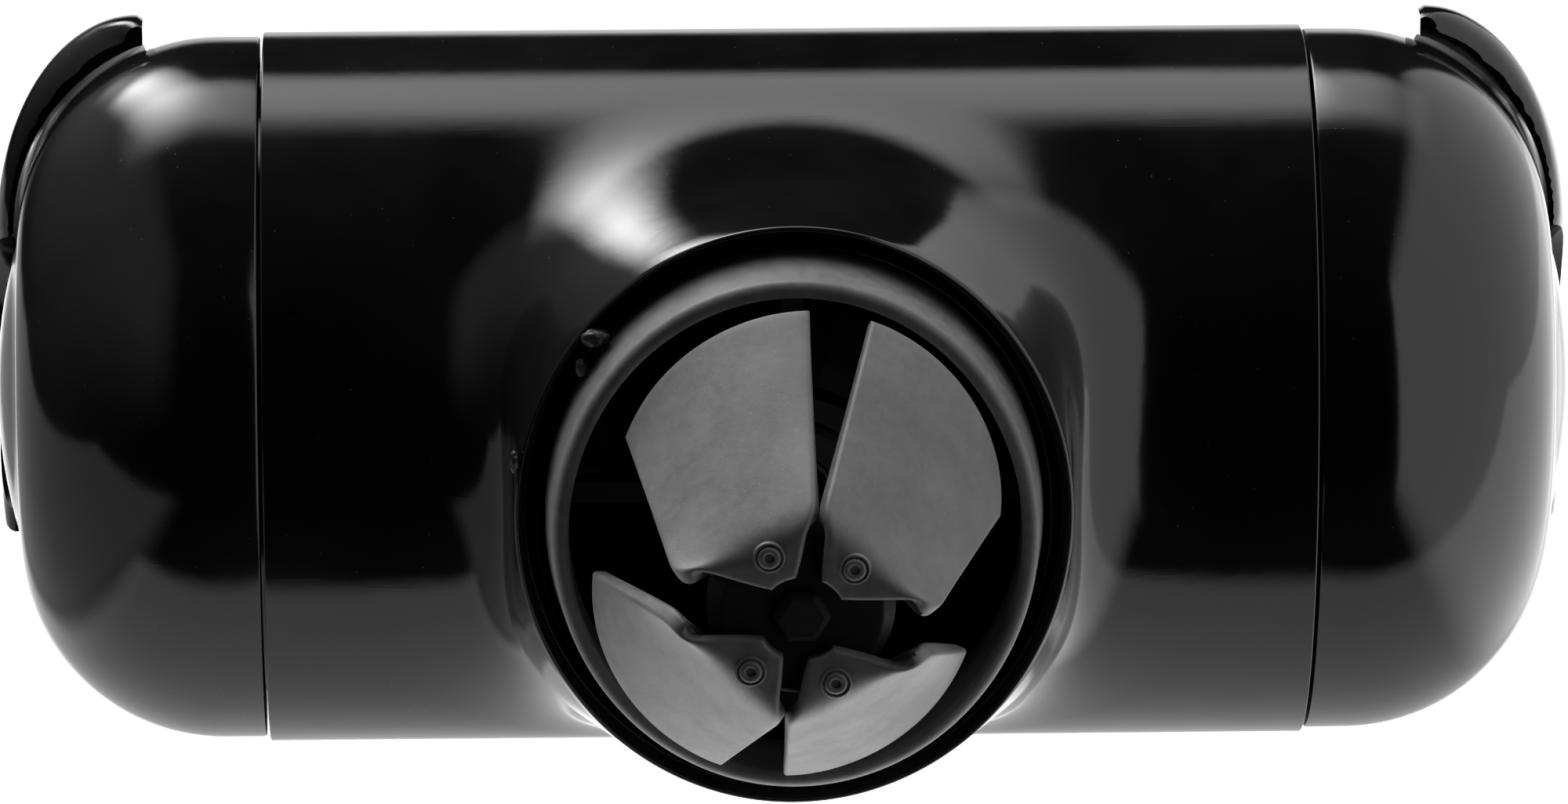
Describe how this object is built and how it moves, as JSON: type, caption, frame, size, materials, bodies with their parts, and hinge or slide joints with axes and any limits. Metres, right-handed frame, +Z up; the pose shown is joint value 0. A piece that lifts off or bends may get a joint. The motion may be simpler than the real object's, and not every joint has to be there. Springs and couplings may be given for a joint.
{
  "type": "wave maker pump",
  "caption": "Horizontal barrel wave maker pump with domed end caps, a short forward outlet with a grey lip, raked grey propeller blades and a rear magnet mount.",
  "frame": {"origin": "centre of the mount's flat rear face, which lies against the tank wall", "axes": "+X along the barrel to the right seen from the front, +Y into the tank wall, +Z up; the outlet points along -Y"},
  "size_m": [0.1408, 0.1182, 0.0656],
  "materials": {
    "gloss_black": "gloss moulded, fine handling marks",
    "satin_black": "satin moulded",
    "matte_grey": "matte moulded, slightly mottled",
    "rubber": "matte",
    "stainless": "turned",
    "lamination_steel": "stacked sheet edges",
    "copper": "enamelled winding wire",
    "ceramic": "ground ceramic",
    "magnet": "coated magnet"
  },
  "bodies": {
    "wall_mount": {"mount_pad": "rubber", "puck_housing": "satin_black", "puck_rear_cover": "satin_black", "mount_magnet": "magnet", "turntable_screw": "stainless"},
    "swivel": {"swivel_turntable": "satin_black", "hinge_pin": "stainless", "hinge_nut": "stainless"},
    "pump": {"barrel_casing": "gloss_black", "left_end_cap": "gloss_black", "right_end_cap": "gloss_black", "left_intake_grille": "satin_black", "right_intake_grille": "satin_black", "left_cap_seal": "rubber", "right_cap_seal": "rubber", "left_cap_screw_upper": "stainless", "left_cap_screw_lower": "stainless", "right_cap_screw_upper": "stainless", "right_cap_screw_lower": "stainless", "cable_gland": "rubber", "nozzle_ring": "matte_grey", "bearing_spider": "satin_black", "motor_canister": "satin_black", "motor_rear_cover": "satin_black", "stator_core": "lamination_steel", "front_coil": "copper", "rear_coil": "copper", "rotor_well": "satin_black", "front_bearing_bush": "ceramic", "rear_bearing_bush": "ceramic", "rear_cushion": "rubber", "hinge_lug": "satin_black"},
    "propeller": {"propeller_hub": "satin_black", "hub_nut": "satin_black", "propeller_shaft": "stainless", "rotor_magnet": "magnet", "thrust_washer": "ceramic", "blade_pin_upper_right": "satin_black", "blade_pin_upper_left": "satin_black", "blade_pin_lower_left": "satin_black", "blade_pin_lower_right": "satin_black"},
    "blade_upper_right": {"blade_upper_right": "matte_grey"},
    "blade_upper_left": {"blade_upper_left": "matte_grey"},
    "blade_lower_left": {"blade_lower_left": "matte_grey"},
    "blade_lower_right": {"blade_lower_right": "matte_grey"}
  },
  "joints": [
    {"name": "mount_swivel", "type": "hinge", "parent": "wall_mount", "child": "swivel", "pos_m": [0, -0.0116, 0], "axis": [0, 1, 0], "range_deg": [-90, 90]},
    {"name": "mount_tilt", "type": "hinge", "parent": "swivel", "child": "pump", "pos_m": [0, -0.0206, 0], "axis": [1, 0, 0], "range_deg": [-35, 35]},
    {"name": "propeller_spin", "type": "hinge", "parent": "pump", "child": "propeller", "pos_m": [0, -0.056, 0.005], "axis": [0, -1, 0], "continuous": true},
    {"name": "upper_right_swing", "type": "hinge", "parent": "propeller", "child": "blade_upper_right", "pos_m": [0.00438, -0.1177, 0.00953], "axis": [0, 1, 0], "range_deg": [0, 10]},
    {"name": "upper_left_swing", "type": "hinge", "parent": "propeller", "child": "blade_upper_left", "pos_m": [-0.00281, -0.1177, 0.01064], "axis": [0, -1, 0], "range_deg": [0, 10]},
    {"name": "lower_left_swing", "type": "hinge", "parent": "propeller", "child": "blade_lower_left", "pos_m": [-0.00438, -0.1177, 0.00047], "axis": [0, 1, 0], "range_deg": [0, 10]},
    {"name": "lower_right_swing", "type": "hinge", "parent": "propeller", "child": "blade_lower_right", "pos_m": [0.00281, -0.1177, -0.00064], "axis": [0, -1, 0], "range_deg": [0, 10]}
  ]
}
